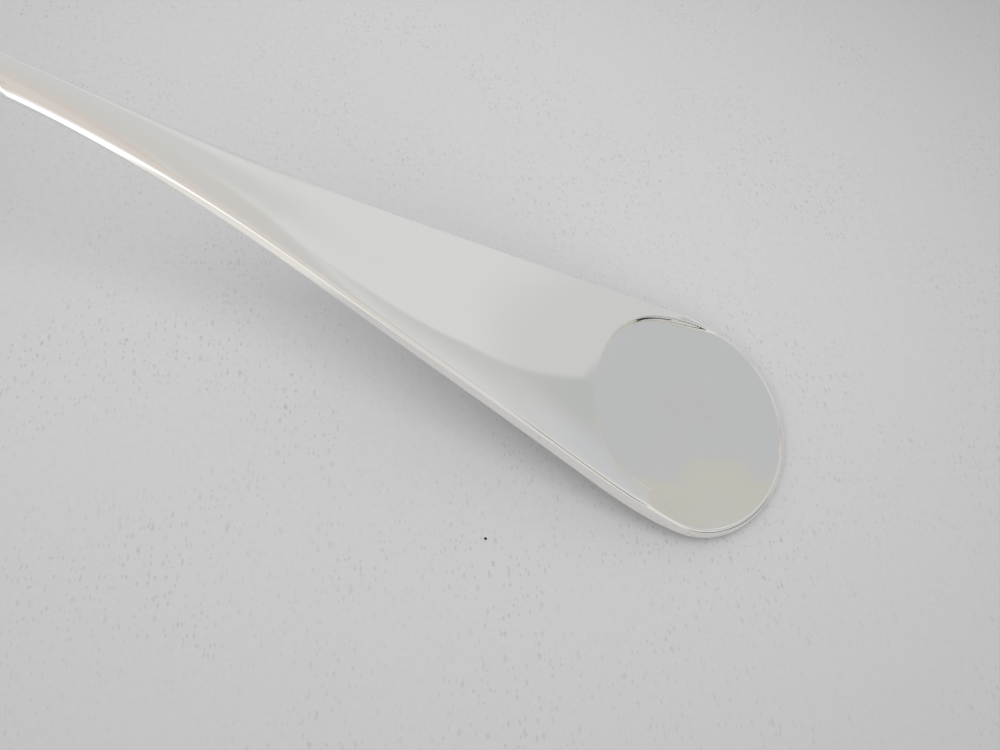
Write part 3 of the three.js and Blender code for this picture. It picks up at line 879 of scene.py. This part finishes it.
# Cards that stand for what the photo's silver mirrors. All lengths on them are in millimetres.
def card(name, origin, right, up, box, paint):
    """Flat glowing card that only the metal sees, a painted reflection; paint gets each point's place
    across it and its rise.
    """
    material = bpy.data.materials.new(name)
    t = Tree(nodes_of(material))
    place = t.node("ShaderNodeTexCoord").outputs["Object"]
    part = t.node("ShaderNodeSeparateXYZ", {0: place}).outputs
    across = t.math("MULTIPLY", part[0], 1 / MM)
    rise = t.math("MULTIPLY", part[1], 1 / MM)
    colour, cover = paint(t, across, rise)
    clear = t.node("ShaderNodeBsdfTransparent").outputs[0]
    shown = t.either(cover, clear, t.glow(colour))
    t.node("ShaderNodeOutputMaterial", {"Surface": shown})
    mesh = bpy.data.meshes.new(name)
    corners = [[v * MM for v in corner] for corner in level(*box, 0)]
    mesh.from_pydata(corners, [], [(0, 1, 2, 3)])
    mesh.materials.append(material)
    obj = bpy.data.objects.new(name, mesh)
    bpy.context.scene.collection.objects.link(obj)
    right, up = np.array(right, float), np.array(up, float)
    out = np.cross(right, up)
    frame_rows = np.stack([right, up, out, np.array(origin) * MM], 1)
    obj.matrix_world = Matrix([list(r) for r in frame_rows] + [[0, 0, 0, 1]])
    obj.visible_camera = False
    obj.visible_diffuse = False
    obj.visible_shadow = False


# The grey card's bent left edge: its first stretch, then what each next stretch of rise adds
FIRST_STRETCH = (-13.0, -3.0, -8.6, -2.0)
NEXT_STRETCHES = ((-3.0, 8.0, -2.6), (8.0, 20.0, -3.2), (20.0, 50.0, -2.6))
# Painted reflections of the stem's near side: greys by the card's edge and further in
EDGE_GREY = ((0.500, 0.515, 0.500, 1), (0.560, 0.565, 0.560, 1), (0.595, 0.595, 0.590, 1))
INNER_GREY = ((0.560, 0.570, 0.600, 1), (0.610, 0.615, 0.625, 1), (0.665, 0.665, 0.670, 1))
INNER_RUN = 8.0
# Painted reflection: the disc's grey and beige, shown on the glowing grey card
DISC_REFLECTED_GREY = (0.520, 0.530, 0.545, 1)
DISC_SLOPE = 0.5625
DISC_REFLECTED_BEIGE = (0.560, 0.548, 0.503, 1)
BEIGE_SLOPE = 0.42
# Painted dark reflection: black core and warm edges of the slit on the handle's near side
DARK_SLIT_CORE = (0.008, 0.005, 0.004, 1)
DARK_SLIT_EDGE = (0.26, 0.15, 0.10, 1)
# Painted highlight: glowing strip that the stem's near edge mirrors as a white line and a pale flank
PAINTED_HIGHLIGHT = (1.25, 1.24, 1.22, 1)
HIGHLIGHT_STRIP_PLAIN = (0.80, 0.78, 0.755, 1)
HIGHLIGHT_STRIP_SLOPE = 0.75


def grey_card_edge(t, rise):
    """Place of the grey card's left edge at each rise."""
    edge = t.line(rise, *FIRST_STRETCH)
    for low, high, change in NEXT_STRETCHES:
        edge = t.math("ADD", edge, t.line(rise, low, high, 0.0, change))
    return edge


def grey_paint(t, across, rise):
    """Painted reflections: greys for the stem's near side; below a slanted line the disc's grey with
    its beige part.
    """
    inside = t.math("SUBTRACT", across, grey_card_edge(t, rise))
    low, middle, high = EDGE_GREY
    by_edge = t.zone(low, middle, (rise, -2, 14))
    by_edge = t.zone(by_edge, high, (rise, 14, 50))
    low, middle, high = INNER_GREY
    inner = t.zone(low, middle, (rise, 0, 14))
    inner = t.zone(inner, high, (rise, 14, 36))
    start = t.ramp(rise, 8, 0, 1.0, 6.0)
    reach = t.math("DIVIDE", t.math("SUBTRACT", inside, start), INNER_RUN, True)
    colour = t.mix(reach, by_edge, inner)
    disc = t.ramp(t.slanted(rise, across, DISC_SLOPE), -2.4, -3.2)
    colour = t.mix(disc, colour, DISC_REFLECTED_GREY)
    upper = t.ramp(t.slanted(rise, across, BEIGE_SLOPE), -4.6, -3.7)
    beige = t.math("MULTIPLY", upper, t.ramp(across, 3.2, 4.9))
    beige = t.math("MAXIMUM", beige, t.ramp(across, 7.5, 8.9))
    colour = t.mix(t.math("MULTIPLY", disc, beige), colour, DISC_REFLECTED_BEIGE)
    cover = t.math("MULTIPLY", t.ramp(inside, -0.5, 0.5), t.ramp(rise, 74, 46))
    return colour, cover


def dark_slit_paint(t, across, rise):
    """Painted dark reflection: a dark strip with warm edges, which the handle's near side wall
    mirrors as a dark slit.
    """
    off = t.math("ABSOLUTE", across)
    return t.zone(DARK_SLIT_CORE, DARK_SLIT_EDGE, (off, 3.4, 4.4)), t.ramp(off, 5.6, 4.8)


def highlight_strip_paint(t, across, rise):
    """Painted highlight: glowing strip in front of the handle, brighter than white at first and
    plainer further on, which the stem's near edge mirrors as a white line; it ends at a slanted line.
    """
    colour = t.zone(PAINTED_HIGHLIGHT, HIGHLIGHT_STRIP_PLAIN, (across, 33, 41))
    end = t.ramp(t.slanted(rise, across, HIGHLIGHT_STRIP_SLOPE), -43, -47)
    return colour, t.math("MULTIPLY", t.ramp(across, 66, 58), end)


card("grey_card", (127.5, 35.1, 44.1), (0.788, -0.616, 0), (-0.412, -0.527, 0.743),
     (-30, -60, 60, 80), grey_paint)
# Painted dark reflection: glowing card that puts a dark slit on the handle's near side
card("dark_slit_card", (120, -65, 67), (0.970, -0.222, 0.097), (-0.2476, 0.7408, 0.6245),
     (-9, -44, 9, 24), dark_slit_paint)
# Painted highlight: glowing strip card in front of the handle
card("highlight_strip_card", (0, 0, 0.25), (1, 0, 0), (0, 1, 0), (-90, -200, 70, -7), highlight_strip_paint)

# Key lamp, wide and soft, above the photo's near side. The metal doesn't mirror it.
KEY_PLACE = Vector((0.06, -0.37, 0.58))
KEY_TARGET = Vector((0.07, 0.02, 0))
light = bpy.data.lights.new("key", "AREA")
light.shape = "DISK"
light.size = 0.9
light.energy = 3.6
light.color = (1.0, 0.99, 0.97)
key = bpy.data.objects.new("key", light)
bpy.context.scene.collection.objects.link(key)
key.location = KEY_PLACE
key.rotation_euler = (KEY_PLACE - KEY_TARGET).to_track_quat("Z", "Y").to_euler()
key.visible_glossy = False

# Camera at the photo's viewing angle
cam_data = bpy.data.cameras.new("camera")
cam_data.lens = 38.77
cam_data.sensor_width = 36
cam_data.clip_start = 0.002
cam_data.clip_end = 20
camera = bpy.data.objects.new("camera", cam_data)
bpy.context.scene.collection.objects.link(camera)
camera.matrix_world = Matrix((
    (0.967620, -0.247572, 0.049193, 0.091888),
    (0.221766, 0.740758, -0.634112, -0.065142),
    (0.120548, 0.624489, 0.771675, 0.081110),
    (0, 0, 0, 1),
))
bpy.context.scene.camera = camera
bpy.context.scene.view_settings.view_transform = "Standard"
